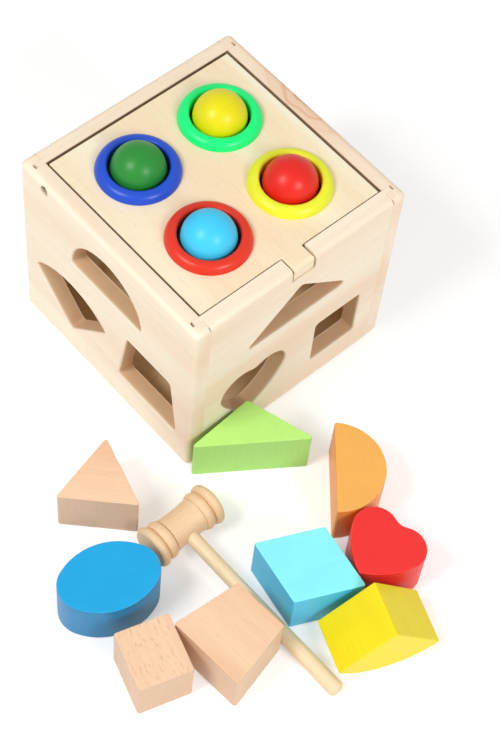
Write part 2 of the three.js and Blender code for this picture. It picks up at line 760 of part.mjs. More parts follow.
/** The blocks as they lie, from the box's front left corner. */
function makeBlocks() {
  const handle = lain(
    footprint(GRIP_END_D, HANDLE_L),
    -MALLET_OUT + (HANDLE_L / 2) * Math.sin(rad(MALLET_TURN)),
    -MALLET_AHEAD - (HANDLE_L / 2) * Math.cos(rad(MALLET_TURN)),
    MALLET_TURN,
  );
  const head = lain(footprint(HEAD_L, CAP_D), -MALLET_OUT, -MALLET_AHEAD, MALLET_TURN);
  const corner = lain(footprint(WALL, WALL), WALL / 2, WALL / 2, 0);
  const quarterFoot = footprint(BLOCK_T, 2 * reachOf(outlines.quarter, 0));

  const flatTriangle = beside(corner, outlines.flatTriangle, LAY.flatTriangle);
  const evenTriangle = beside(head, outlines.evenTriangle, LAY.evenTriangle);
  const trapezoid = beside(handle, outlines.trapezoid, LAY.trapezoid);
  const rectangle = beside(trapezoid, outlines.rectangle, LAY.rectangle);
  const oval = beside(rectangle, outlines.oval, LAY.oval);
  const rhombus = beside(handle, outlines.rhombus, LAY.rhombus);
  const heart = beside(rhombus, outlines.heart, LAY.heart);
  const semicircle = beside(heart, outlines.semicircle, LAY.semicircle);
  const quarter = beside(handle, quarterFoot, LAY.quarter);

  const blocks = new THREE.Group();
  const pieces = [
    { name: 'block_flat_triangle', lie: flatTriangle, color: 0xb4ee7c },
    { name: 'block_even_triangle', lie: evenTriangle, color: 0xf0cda2 },
    { name: 'block_trapezoid', lie: trapezoid, color: 0xf0c9a6 },
    { name: 'block_rectangle', lie: rectangle, color: 0xf0c8a0 },
    { name: 'block_oval', lie: oval, color: 0x2ba4de },
    { name: 'block_rhombus', lie: rhombus, color: 0x84e4fa },
    { name: 'block_heart', lie: heart, color: 0xf23c38 },
    { name: 'block_semicircle', lie: semicircle, color: 0xf4b05c },
    { name: 'block_quarter', lie: quarter, color: 0xf2e028, geometry: restingQuarter() },
  ];
  for (const { name, lie, color, geometry } of pieces) {
    const block = part(name, geometry ?? blockGeometry(lie.arcs), color, 0.45);
    block.position.set(lie.x, lie.y, 0);
    block.rotation.z = rad(lie.heading);
    blocks.add(block);
  }
  return blocks;
}

const loose = new THREE.Group();
loose.position.set(-BOX_W / 2, -BOX_D / 2, 0);
loose.add(makeMallet(), makeBlocks());

const poundingCube = new THREE.Group();
poundingCube.add(makeBox(), makeLid(), loose);

export default poundingCube;
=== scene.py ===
"""Dresses the pounding cube: its wooden box, the lid with rings and balls, the mallet and the blocks.

Every piece is built in metres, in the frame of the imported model, and rides on the body it belongs to.
"""

import json
import logging
import math
from dataclasses import dataclass, field
from enum import Enum
from functools import cache
from typing import Any, ClassVar, Sequence

import bmesh
import bpy
from mathutils import Euler, Matrix, Vector

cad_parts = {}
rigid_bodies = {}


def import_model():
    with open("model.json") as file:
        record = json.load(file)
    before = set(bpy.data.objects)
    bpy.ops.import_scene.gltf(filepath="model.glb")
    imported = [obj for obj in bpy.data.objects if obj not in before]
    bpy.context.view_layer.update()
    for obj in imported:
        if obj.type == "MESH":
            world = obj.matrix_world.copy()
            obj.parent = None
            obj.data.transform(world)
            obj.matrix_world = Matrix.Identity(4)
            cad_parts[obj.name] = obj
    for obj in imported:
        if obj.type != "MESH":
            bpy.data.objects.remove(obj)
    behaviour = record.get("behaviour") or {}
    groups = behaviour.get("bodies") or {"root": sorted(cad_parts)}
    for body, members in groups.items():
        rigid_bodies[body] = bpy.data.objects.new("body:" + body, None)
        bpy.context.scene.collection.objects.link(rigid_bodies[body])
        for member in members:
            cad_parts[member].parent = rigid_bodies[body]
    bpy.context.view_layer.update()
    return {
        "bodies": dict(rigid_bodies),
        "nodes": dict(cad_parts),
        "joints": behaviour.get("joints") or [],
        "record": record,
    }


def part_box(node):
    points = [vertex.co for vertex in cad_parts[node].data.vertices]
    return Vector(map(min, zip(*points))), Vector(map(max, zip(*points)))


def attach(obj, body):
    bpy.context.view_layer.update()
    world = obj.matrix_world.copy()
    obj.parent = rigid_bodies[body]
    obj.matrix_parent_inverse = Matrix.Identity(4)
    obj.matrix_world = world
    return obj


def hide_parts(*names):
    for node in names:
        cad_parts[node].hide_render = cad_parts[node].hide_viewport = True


LOG = logging.getLogger("pounding_cube")

MM = 0.001
QUARTER_TURN = math.pi / 2
WHITE = (1.0, 1.0, 1.0, 1.0)

# Corners nearer than this are joined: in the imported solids, and in turned pieces.
SOLID_WELD = 0.002 * MM
TURNED_WELD = 0.001 * MM
# Facets that lean apart less than this make one flat face.
FLAT_WITHIN = math.radians(0.6)
# A point of a profile that is nearer the axis than this lies on it.
ON_AXIS = 1e-7

Colour = tuple[float, float, float, float]
Triple = tuple[float, float, float]
Range = tuple[float, float]
Profile = list[tuple[float, float]]
Socket = bpy.types.NodeSocket
Feed = float | Sequence[float] | Socket
Feeds = dict[str | int, Feed]
Sockets = dict[str, Socket]


def linear(code: str) -> Colour:
    """Turns a written colour into the linear values that shaders take.

    Args:
        code: Six hexadecimal digits of an sRGB colour.

    Returns:
        The colour in linear light, with full alpha.
    """
    channels = (int(code[i : i + 2], 16) / 255 for i in (0, 2, 4))
    light = [c / 12.92 if c <= 0.04045 else ((c + 0.055) / 1.055) ** 2.4 for c in channels]
    return (light[0], light[1], light[2], 1.0)


class Grain(Enum):
    """The axis that a piece's wood fibres run along."""

    ACROSS = "x"
    DEEP = "y"
    UPRIGHT = "z"

    @property
    def turn(self) -> Triple:
        """The rotation that brings this axis onto X."""
        turns = {"x": (0.0, 0.0, 0.0), "y": (0.0, 0.0, -QUARTER_TURN), "z": (0.0, QUARTER_TURN, 0.0)}
        return turns[self.value]


@dataclass(frozen=True)
class Cloud:
    """A cloudy texture: its cells in a metre, its detail, the values that count and what they add."""

    cells: float | Triple
    detail: float = 2.0
    limits: Range = (0.0, 1.0)
    tone: float = 0.0
    roughness: float = 0.0
    height: float = 0.0


class NodeBench:
    """A hand for laying out the nodes of one tree."""

    # A Mix node's sockets for colours, whose names are shared with its other sockets.
    FIRST_COLOUR = 6
    SECOND_COLOUR = 7
    MIXED_COLOUR = 2

    def __init__(self, tree: bpy.types.NodeTree) -> None:
        """Starts with an empty tree.

        Args:
            tree: The node tree that is filled.
        """
        self.tree = tree
        self.tree.nodes.clear()

    def put(self, kind: str, inputs: Feeds | None = None, **settings: Any) -> bpy.types.Node:
        """Adds a node.

        Args:
            kind: The node's type name.
            inputs: Values or sockets for its inputs, by name or place.
            **settings: Properties of the node.

        Returns:
            The new node.
        """
        node = self.tree.nodes.new(kind)
        for name, value in settings.items():
            setattr(node, name, value)
        for key, value in (inputs or {}).items():
            self.feed(node.inputs[key], value)
        return node

    def feed(self, socket: Socket, value: Feed) -> None:
        """Links a socket or sets a plain value on an input.

        Args:
            socket: The input.
            value: What it gets.
        """
        if isinstance(value, Socket):
            self.tree.links.new(value, socket)
        else:
            socket.default_value = value

    def group(self, tree: bpy.types.NodeTree, inputs: Feeds) -> bpy.types.Node:
        """Adds a shared group and feeds its inputs."""
        return self.put("ShaderNodeGroup", inputs, node_tree=tree)

    def sum(self, operation: str, *values: Feed, clamp: bool = False) -> Socket:
        """Works out one step of arithmetic.

        Args:
            operation: The Math node's operation.
            *values: Numbers or sockets, in order.
            clamp: Whether the result stays between 0 and 1.

        Returns:
            The result's socket.
        """
        node = self.put("ShaderNodeMath", dict(enumerate(values)), operation=operation, use_clamp=clamp)
        return node.outputs[0]

    def times(self, first: Feed, second: Feed, clamp: bool = False) -> Socket:
        """Multiplies two values."""
        return self.sum("MULTIPLY", first, second, clamp=clamp)

    def plus(self, base: Feed, value: Feed, share: Feed, clamp: bool = False) -> Socket:
        """Adds a share of a value to a base."""
        return self.sum("MULTIPLY_ADD", value, share, base, clamp=clamp)

    def rest(self, value: Feed) -> Socket:
        """What a value leaves of 1."""
        return self.sum("SUBTRACT", 1.0, value)

    def vector(self, operation: str, *values: Feed) -> bpy.types.Node:
        """Adds one step of vector arithmetic."""
        return self.put("ShaderNodeVectorMath", dict(enumerate(values)), operation=operation)

    def offset(self, place: Feed, centre: Feed) -> Socket:
        """The way from a centre to a place."""
        return self.vector("SUBTRACT", place, centre).outputs[0]

    def stretch(self, place: Feed, scale: Feed) -> Socket:
        """Scales a coordinate by a different amount along each axis."""
        return self.vector("MULTIPLY", place, scale).outputs[0]

    def dot(self, first: Feed, second: Feed) -> Socket:
        """How far one vector reaches along another."""
        return self.vector("DOT_PRODUCT", first, second).outputs["Value"]

    def length(self, vector: Feed) -> Socket:
        """A vector's length."""
        return self.vector("LENGTH", vector).outputs["Value"]

    def shade(self, colour: Feed, share: Feed) -> Socket:
        """Darkens a colour to a share of itself."""
        return self.put("ShaderNodeVectorMath", {0: colour, "Scale": share}, operation="SCALE").outputs[0]

    def noise(self, place: Socket, cloud: Cloud) -> Socket:
        """Gives a cloud of values from 0 to 1.

        Args:
            place: The coordinate it follows.
            cloud: How fine it is, the same along each axis or not.

        Returns:
            The value's socket.
        """
        scale = cloud.cells
        if isinstance(scale, tuple):
            place, scale = self.stretch(place, scale), 1.0
        node = self.put("ShaderNodeTexNoise", {"Vector": place, "Scale": scale, "Detail": cloud.detail})
        return node.outputs["Fac"]

    def spread(self, place: Socket, cloud: Cloud) -> Socket:
        """Gives a cloud with the values that count spread over 0 to 1."""
        return self.span(self.noise(place, cloud), cloud.limits)

    def span(self, value: Feed, limits: Range) -> Socket:
        """Spreads the values between two limits smoothly over 0 to 1."""
        inputs = {"Value": value, "From Min": limits[0], "From Max": limits[1]}
        return self.put("ShaderNodeMapRange", inputs, interpolation_type="SMOOTHSTEP").outputs["Result"]

    def blend(self, share: Feed, first: Feed, second: Feed) -> Socket:
        """Mixes two colours by a share."""
        inputs = {"Factor": share, self.FIRST_COLOUR: first, self.SECOND_COLOUR: second}
        return self.put("ShaderNodeMix", inputs, data_type="RGBA").outputs[self.MIXED_COLOUR]


class GroupBench(NodeBench):
    """A shared node group, which each kind lays out in its own way."""

    TAKES: ClassVar[dict[str, str]] = {}
    GIVES: ClassVar[dict[str, str]] = {"Color": "Color"}

    def __init__(self, name: str) -> None:
        """Makes the group with its sockets and fills it.

        Args:
            name: The group's name.
        """
        super().__init__(bpy.data.node_groups.new(name, "ShaderNodeTree"))
        for way, sockets in (("INPUT", self.TAKES), ("OUTPUT", self.GIVES)):
            for label, kind in sockets.items():
                self.tree.interface.new_socket(label, in_out=way, socket_type=f"NodeSocket{kind}")
        self.given = {socket.name: socket for socket in self.put("NodeGroupInput").outputs}
        self.put("NodeGroupOutput", self.lay())

    def lay(self) -> Sockets:
        """Lays out the nodes and gives the outgoing sockets by name."""
        raise NotImplementedError


class SkinBench(GroupBench):
    """A group that gives a whole skin."""

    GIVES = {"Color": "Color", "Roughness": "Float", "Height": "Float"}


class WoodFigure(SkinBench):
    """Growth rings about a distant heart, with fibres, flecks and pores along X."""

    TAKES = {
        "Vector": "Vector", "Heart": "Vector", "Ring Width": "Float", "Figure": "Float",
        "Flecks": "Float", "Early Wood": "Color", "Late Wood": "Color",
    }

    DRIFT = Cloud((4, 22, 22), 3)
    FIBRE = Cloud((28, 800, 800), 3, (0.3, 0.75), tone=0.16, roughness=0.16)
    CLOUD = Cloud((3, 26, 26), 2, (0.34, 0.68), tone=0.7)
    FLECK = Cloud((230, 620, 620), 4, (0.6, 0.7))
    PORE = Cloud((110, 1700, 1700), 2, (0.58, 0.7), tone=0.2)
    CROWDING = 0.12
    TRUNK = (0.06, 1, 1)
    WANDER = 35 * MM
    RING_RISE = (0.1, 0.8)
    RING_FALL = (0.8, 1.0)
    RING_TONE = 0.1
    RING_HEIGHT = 0.35
    MARK_SHADE = 0.66
    MARK_ROUGHNESS = 0.2
    ROUGHNESS = 0.4

    def lay(self) -> Sockets:
        """Lays out rings, fibres, clouds and marks.

        Returns:
            The outgoing sockets by name.
        """
        given = self.given
        place, flecks, late = given["Vector"], given["Flecks"], given["Late Wood"]
        radius = self.length(self.stretch(self.offset(place, given["Heart"]), self.TRUNK))
        radius = self.plus(radius, self.noise(place, self.DRIFT), self.WANDER)
        phase = self.sum("FRACT", self.sum("DIVIDE", radius, given["Ring Width"]))
        ring = self.times(self.span(phase, self.RING_RISE), self.rest(self.span(phase, self.RING_FALL)))
        fibre = self.noise(place, self.FIBRE)
        spots = self.plus(self.noise(place, self.FLECK), flecks, self.CROWDING)
        mark = self.times(self.span(spots, self.FLECK.limits), flecks)
        mark = self.plus(mark, self.spread(place, self.PORE), self.PORE.tone, clamp=True)
        tone = self.times(ring, self.RING_TONE)
        tone = self.plus(tone, self.span(fibre, self.FIBRE.limits), self.FIBRE.tone)
        tone = self.plus(tone, self.spread(place, self.CLOUD), self.CLOUD.tone)
        tone = self.times(tone, given["Figure"], clamp=True)
        colour = self.blend(tone, given["Early Wood"], late)
        colour = self.blend(mark, colour, self.shade(late, self.MARK_SHADE))
        rough = self.plus(self.ROUGHNESS, fibre, self.FIBRE.roughness)
        rough = self.plus(rough, mark, self.MARK_ROUGHNESS, clamp=True)
        height = self.sum("SUBTRACT", self.plus(fibre, ring, self.RING_HEIGHT), mark)
        return {"Color": colour, "Roughness": rough, "Height": height}


class PaintFilm(SkinBench):
    """A dipped coat of paint: faint mottling, fine peel and fibres that show through."""

    TAKES = {"Vector": "Vector", "Paint": "Color", "Gloss": "Float"}

    MOTTLE = Cloud(46.0, 3, (0.3, 0.72), tone=0.05, roughness=0.07)
    FIBRE = Cloud((45, 620, 620), 2, (0.5, 0.75), tone=-0.04, roughness=0.06, height=0.8)
    PEEL = Cloud(780.0, 1, height=0.35)

    def lay(self) -> Sockets:
        """Lays out mottling, fibres and peel.

        Returns:
            The outgoing sockets by name.
        """
        given = self.given
        place = given["Vector"]
        mottle = self.spread(place, self.MOTTLE)
        fibre = self.noise(place, self.FIBRE)
        shade = self.plus(1.0 - self.MOTTLE.tone, mottle, self.MOTTLE.tone)
        shade = self.plus(shade, self.span(fibre, self.FIBRE.limits), self.FIBRE.tone)
        rough = self.plus(given["Gloss"], mottle, self.MOTTLE.roughness)
        rough = self.plus(rough, fibre, self.FIBRE.roughness, clamp=True)
        peel = self.times(self.noise(place, self.PEEL), self.PEEL.height)
        height = self.plus(peel, fibre, self.FIBRE.height)
        return {"Color": self.shade(given["Paint"], shade), "Roughness": rough, "Height": height}


class MouldedSkin(SkinBench):
    """A moulded skin: a slight flow of colour, and fine scuffs round the turn."""

    TAKES = {"Vector": "Vector", "Tint": "Color", "Gloss": "Float"}

    FLOW = Cloud(60.0, 2, (0.3, 0.7), tone=0.06, roughness=0.05)
    SCUFF = Cloud((260, 260, 1500), 4, (0.58, 0.78), roughness=0.16, height=-0.4)
    PEBBLE = Cloud(1500.0, 1)

    def lay(self) -> Sockets:
        """Lays out flow, scuffs and a fine pebble.

        Returns:
            The outgoing sockets by name.
        """
        given = self.given
        place = given["Vector"]
        flow, scuff = self.spread(place, self.FLOW), self.spread(place, self.SCUFF)
        shade = self.plus(1.0 - self.FLOW.tone, flow, self.FLOW.tone)
        rough = self.plus(given["Gloss"], flow, self.FLOW.roughness)
        rough = self.plus(rough, scuff, self.SCUFF.roughness, clamp=True)
        height = self.plus(self.noise(place, self.PEBBLE), scuff, self.SCUFF.height)
        return {"Color": self.shade(given["Tint"], shade), "Roughness": rough, "Height": height}


class EdgeWearAndSheen(GroupBench):
    """Where hands and knocks rub the edges, and a painted highlight along the rounded edges, broken up so
    that it isn't even.
    """

    TAKES = {"Vector": "Vector", "Reach": "Float", "Amount": "Float"}
    GIVES = {"Mask": "Float"}

    SAMPLES = 4
    EDGE_SPAN = (0.01, 0.16)
    BREAKS = Cloud(240.0, 4, (0.34, 0.68))

    def lay(self) -> Sockets:
        """Lays out the edges and what breaks them up.

        Returns:
            The outgoing sockets by name.
        """
        given = self.given
        rounded = self.put("ShaderNodeBevel", {"Radius": given["Reach"]}, samples=self.SAMPLES).outputs[0]
        true = self.put("ShaderNodeNewGeometry").outputs["True Normal"]
        edge = self.span(self.rest(self.dot(rounded, true)), self.EDGE_SPAN)
        mask = self.times(edge, self.spread(given["Vector"], self.BREAKS))
        return {"Mask": self.times(mask, given["Amount"], clamp=True)}


class SawnSideShade(GroupBench):
    """Sawn sides, darker than the faces as painted shade, which show the saw's strokes."""

    TAKES = {"Vector": "Vector", "Normal": "Vector", "Color": "Color", "Side": "Color"}

    SHARE = 0.92
    LEAN_SPAN = (0.2, 0.75)
    STROKE = Cloud((520, 520, 70), 3, tone=0.12)
    BASE_SHADE = 0.94

    def lay(self) -> Sockets:
        """Lays out the painted shade on the sides and the saw's strokes on them.

        Returns:
            The outgoing sockets by name.
        """
        given = self.given
        # Faces that do not look up take the darker side colour: painted shade. The strokes are the saw's
        # own.
        upward = self.put("ShaderNodeSeparateXYZ", {0: given["Normal"]}).outputs["Z"]
        face = self.span(self.sum("ABSOLUTE", upward), self.LEAN_SPAN)
        side = self.sum("SUBTRACT", self.SHARE, face, clamp=True)
        shade = self.plus(self.BASE_SHADE, self.noise(given["Vector"], self.STROKE), self.STROKE.tone)
        return {"Color": self.blend(side, given["Color"], self.shade(given["Side"], shade))}


class CutToastAndShade(GroupBench):
    """Painted shade in a board's routed cuts and on its raw inner face, over a toasted tone of the cut,
    darkest near the top as painted shade of the gap round the lid.
    """

    TAKES = {
        "Vector": "Vector", "Inward": "Vector", "Outer": "Float", "Thickness": "Float", "Run": "Vector",
        "Half Length": "Float", "Top": "Float", "Inner Share": "Float", "Color": "Color", "Toast": "Color",
    }

    CUT_SPAN = (0.02, 0.26)
    CUT_BAND = (3.4 * MM, 4.6 * MM)
    INNER_SPAN = (0.9, 0.98)
    INNER_BAND = (0.0, 0.5 * MM)
    # Near the top the colour darkens further: painted shade of the gap round the lid.
    GAP_SHADE_BAND = (9 * MM, 12 * MM)
    GAP_SHADE = 0.45
    PATCHES = Cloud(90.0, tone=0.3)
    EVEN_SHARE = 0.75

    def lay(self) -> Sockets:
        """Lays out the painted shade in the cuts, on the inner face and at the rim by the lid.

        Returns:
            The outgoing sockets by name.
        """
        given = self.given
        place = given["Vector"]
        depth = self.sum("SUBTRACT", self.dot(place, given["Inward"]), given["Outer"])
        depth = self.sum("DIVIDE", depth, given["Thickness"])
        along = self.sum("ABSOLUTE", self.dot(place, given["Run"]))
        height = self.put("ShaderNodeSeparateXYZ", {0: place}).outputs["Z"]
        to_top = self.sum("SUBTRACT", given["Top"], height)
        to_edge = self.sum("MINIMUM", self.sum("SUBTRACT", given["Half Length"], along), to_top)
        # The deeper into the board, the more painted shade the cut and inner face take.
        inner = self.span(depth, self.INNER_SPAN)
        cut = self.times(self.span(depth, self.CUT_SPAN), self.span(to_edge, self.CUT_BAND))
        cut = self.times(cut, self.rest(inner))
        clear = self.span(to_top, self.GAP_SHADE_BAND)
        less = self.sum("SUBTRACT", given["Inner Share"], 1.0)
        inside = self.times(inner, self.span(to_edge, self.INNER_BAND))
        inside = self.times(inside, self.plus(1.0, clear, less))
        patchy = self.plus(self.EVEN_SHARE, self.noise(place, self.PATCHES), self.PATCHES.tone)
        share = self.times(self.sum("MAXIMUM", cut, inside), patchy, clamp=True)
        toast = self.shade(given["Toast"], self.plus(self.GAP_SHADE, clear, 1.0 - self.GAP_SHADE))
        return {"Color": self.blend(share, given["Color"], toast)}


class KnotFlush(GroupBench):
    """A knot: dark loops about a point, drawn out along the grain, in a flushed patch."""

    TAKES = {
        "Vector": "Vector", "Centre": "Vector", "Draw": "Vector", "Reach": "Float", "Color": "Color",
        "Flush": "Color",
    }

    DRIFT = Cloud(90.0, 3)
    WANDER = 5 * MM
    PATCH_SPAN = (0.25, 1.0)
    PATCH_SHARE = 0.4
    LOOPS = 32.0
    LOOP_SPAN = (0.2, 1.0)
    LOOP_FADE = 2.0
    LOOP_SHARE = 0.5

    def lay(self) -> Sockets:
        """Lays out the patch and its loops.

        Returns:
            The outgoing sockets by name.
        """
        given = self.given
        place = given["Vector"]
        away = self.length(self.stretch(self.offset(place, given["Centre"]), given["Draw"]))
        away = self.plus(away, self.noise(place, self.DRIFT), self.WANDER)
        away = self.sum("DIVIDE", away, given["Reach"])
        patch = self.rest(self.span(away, self.PATCH_SPAN))
        loop = self.span(self.sum("SINE", self.times(away, self.LOOPS)), self.LOOP_SPAN)
        loop = self.times(loop, self.sum("POWER", patch, self.LOOP_FADE))
        share = self.plus(self.times(loop, self.LOOP_SHARE), patch, self.PATCH_SHARE, clamp=True)
        return {"Color": self.blend(share, given["Color"], given["Flush"])}


class Effect(Enum):
    """The node groups that the finishes share."""

    WOOD_FIGURE = WoodFigure
    PAINT_FILM = PaintFilm
    MOULDED_SKIN = MouldedSkin
    EDGE_WEAR_AND_SHEEN = EdgeWearAndSheen
    SAWN_SIDE_SHADE = SawnSideShade
    CUT_TOAST_AND_SHADE = CutToastAndShade
    KNOT = KnotFlush


@cache
def shared_group(effect: Effect) -> bpy.types.NodeTree:
    """Gives a shared node group, built at its first use."""
    return effect.value(effect.name.lower()).tree


@dataclass(frozen=True)
class Dressing:
    """Something that puts a shared group into a material, with its own values."""

    effect: ClassVar[Effect]

    def values(self) -> Feeds:
        """The group's values by input, apart from those that come from other nodes."""
        raise NotImplementedError

    def lay(self, bench: NodeBench, inputs: Feeds) -> bpy.types.Node:
        """Adds the group to a material."""
        return bench.group(shared_group(self.effect), self.values() | inputs)


@dataclass(frozen=True)
class Cut(Dressing):
    """Where a board's cuts and inner face take painted shade over a toasted tone, inwards from its outer
    face.
    """

    inward: Triple
    outer: float
    run: Triple
    half_length: float
    thickness: float = 10 * MM
    top: float = 134 * MM
    # The cut's toasted colour, darkened to stand for the shade inside it: painted shade.
    toast: str = "E2B88E"
    inner_share: float = 0.6

    effect = Effect.CUT_TOAST_AND_SHADE

    def values(self) -> Feeds:
        """The cut's values.

        Returns:
            Values by input.
        """
        return {
            "Inward": self.inward, "Outer": self.outer, "Thickness": self.thickness, "Run": self.run,
            "Half Length": self.half_length, "Top": self.top, "Inner Share": self.inner_share,
            "Toast": linear(self.toast),
        }


@dataclass(frozen=True)
class Knot(Dressing):
    """Where a board has a knot, how it is drawn out along the grain and how far its flush reaches."""

    centre: Triple
    draw: Triple
    reach: float = 26 * MM
    flush: str = "E2A57C"

    effect = Effect.KNOT

    def values(self) -> Feeds:
        """The knot's values by input."""
        flush = linear(self.flush)
        return {"Centre": self.centre, "Draw": self.draw, "Reach": self.reach, "Flush": flush}


@dataclass(frozen=True)
class Finish(Dressing):
    """What every finish has: a name, its grain, its gloss, a bump, its lighter edges from wear and painted
    highlight, and how it is marked.

    A side is the painted shade of sawn sides, and is left empty where they are like the faces.
    """

    name: str
    grain: Grain = Grain.ACROSS
    specular: float = 0.35
    coat: float = 0.0
    coat_roughness: float = 0.2
    bump: float = 0.25
    bump_depth: float = 0.05 * MM
    # The lighter colour along the edges: wear, and a painted highlight on the rounded edges.
    worn_and_sheen: str = "FFFFFF"
    rub_and_sheen: float = 0.3
    rub_and_sheen_reach: float = 1.0 * MM
    # The colour of the sawn sides, as painted shade.
    side: str = ""
    marks: tuple[Dressing, ...] = ()

    def material(self, lie: Matrix) -> bpy.types.Material:
        """Makes the material.

        Args:
            lie: How the piece lies, which its grain follows.

        Returns:
            The finish's material.
        """
        material = bpy.data.materials.new(self.name)
        material.use_nodes = True
        bench = NodeBench(material.node_tree)
        where = bench.put("ShaderNodeTexCoord").outputs
        spot = where["Object"]
        turn = (Euler(self.grain.turn).to_matrix() @ lie.to_3x3().inverted()).to_euler()
        place = bench.put("ShaderNodeMapping", {"Vector": spot, "Rotation": turn}).outputs[0]
        # Edges turn lighter: rubbed wear and painted highlight.
        rub_and_sheen_inputs = {"Vector": place, "Reach": self.rub_and_sheen_reach, "Amount": self.rub_and_sheen}
        rub_and_sheen = bench.group(shared_group(Effect.EDGE_WEAR_AND_SHEEN), rub_and_sheen_inputs).outputs["Mask"]
        skin = self.lay(bench, {"Vector": place}).outputs
        colour = bench.blend(rub_and_sheen, skin["Color"], linear(self.worn_and_sheen))
        # Sawn sides take painted shade.
        if self.side:
            sawn = {"Vector": spot, "Normal": where["Normal"], "Color": colour, "Side": linear(self.side)}
            colour = bench.group(shared_group(Effect.SAWN_SIDE_SHADE), sawn).outputs["Color"]
        # Knots are the wood's own; cuts and inner faces take painted shade.
        for mark in self.marks:
            colour = mark.lay(bench, {"Vector": spot, "Color": colour}).outputs["Color"]
        relief = {"Strength": self.bump, "Distance": self.bump_depth, "Height": skin["Height"]}
        surface = {
            "Base Color": colour,
            "Roughness": skin["Roughness"],
            "Normal": bench.put("ShaderNodeBump", relief).outputs[0],
            "Specular IOR Level": self.specular,
            "Coat Weight": self.coat,
            "Coat Roughness": self.coat_roughness,
        }
        shader = bench.put("ShaderNodeBsdfPrincipled", surface)
        bench.put("ShaderNodeOutputMaterial", {"Surface": shader.outputs[0]})
        return material


@dataclass(frozen=True)
class WoodFinish(Finish):
    """Bare wood, sanded, with its grain along one axis of the piece."""

    coat: float = 0.06
    coat_roughness: float = 0.35
    worn_and_sheen: str = "FBEBD0"
    early: str = "F4DDB9"
    late: str = "DDB07C"
    heart: Triple = (0.0, 0.06, -0.2)
    ring_width: float = 7 * MM
    figure: float = 0.6
    flecks: float = 0.25

    effect = Effect.WOOD_FIGURE

    def values(self) -> Feeds:
        """The wood's values.

        Returns:
            Values by input.
        """
        return {
            "Heart": self.heart, "Ring Width": self.ring_width, "Figure": self.figure,
            "Flecks": self.flecks, "Early Wood": linear(self.early), "Late Wood": linear(self.late),
        }


@dataclass(frozen=True)
class PaintFinish(Finish):
    """Paint on wood, rubbed thin along the edges, which also carry a painted highlight."""

    specular: float = 0.3
    worn_and_sheen: str = "F6E2C4"
    paint: str = "FFFFFF"
    gloss: float = 0.3

    effect = Effect.PAINT_FILM

    def values(self) -> Feeds:
        """The paint's values by input."""
        return {"Paint": linear(self.paint), "Gloss": self.gloss}


@dataclass(frozen=True)
class MouldedFinish(Finish):
    """Moulded plastic or rubber."""

    tint: str = "FFFFFF"
    gloss: float = 0.25

    effect = Effect.MOULDED_SKIN

    def values(self) -> Feeds:
        """The moulded skin's values by input."""
        return {"Tint": linear(self.tint), "Gloss": self.gloss}


def solid_of(frame: dict[str, Any], node: str, placed: Matrix) -> bmesh.types.BMesh:
    """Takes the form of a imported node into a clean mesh, in a piece's own frame.

    Args:
        frame: The loaded model.
        node: The node's name.
        placed: Where the piece's own frame is.

    Returns:
        The mesh, joined up and with its flat faces whole.
    """
    source = frame["nodes"][node].data
    back = placed.inverted()
    bm = bmesh.new()
    corners = [bm.verts.new(back @ vertex.co) for vertex in source.vertices]
    for polygon in source.polygons:
        bm.faces.new([corners[i] for i in polygon.vertices])
    bmesh.ops.remove_doubles(bm, verts=bm.verts, dist=SOLID_WELD)
    bmesh.ops.dissolve_degenerate(bm, edges=bm.edges, dist=SOLID_WELD)
    bmesh.ops.dissolve_limit(bm, angle_limit=FLAT_WITHIN, verts=bm.verts, edges=bm.edges)
    return bm


def turned(profile: Profile, sides: int) -> bmesh.types.BMesh:
    """Turns a profile about Z.

    Args:
        profile: Radius and height of each point. A ring's profile closes on itself.
        sides: Faces in a full turn.

    Returns:
        The turned mesh.
    """
    bm = bmesh.new()
    rows = []
    for radius, height in profile:
        if radius < ON_AXIS:
            rows.append([bm.verts.new((0.0, 0.0, height))])
            continue
        angles = (2 * math.pi * i / sides for i in range(sides))
        rows.append([bm.verts.new((radius * math.cos(a), radius * math.sin(a), height)) for a in angles])
    for low, high in zip(rows, rows[1:]):
        for here in range(sides):
            after = here + 1
            below = [low[here % len(low)], low[after % len(low)]]
            above = [high[after % len(high)], high[here % len(high)]]
            bm.faces.new(list(dict.fromkeys(below + above)))
    bmesh.ops.remove_doubles(bm, verts=bm.verts, dist=TURNED_WELD)
    return bm


def bow(centre: tuple[float, float], radius: float, start: float, end: float, steps: int) -> Profile:
    """Gives the points of an arc in a profile.

    Args:
        centre: Radius and height of the arc's centre.
        radius: The arc's radius.
        start: Its first angle in degrees.
        end: Its last angle in degrees.
        steps: How many chords it has.

    Returns:
        The arc's points, both ends included.
    """
    angles = [math.radians(start + (end - start) * i / steps) for i in range(steps + 1)]
    return [(centre[0] + radius * math.cos(a), centre[1] + radius * math.sin(a)) for a in angles]


def middle_of(node: str) -> Vector:
    """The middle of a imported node's box."""
    low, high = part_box(node)
    return (Vector(low) + Vector(high)) / 2


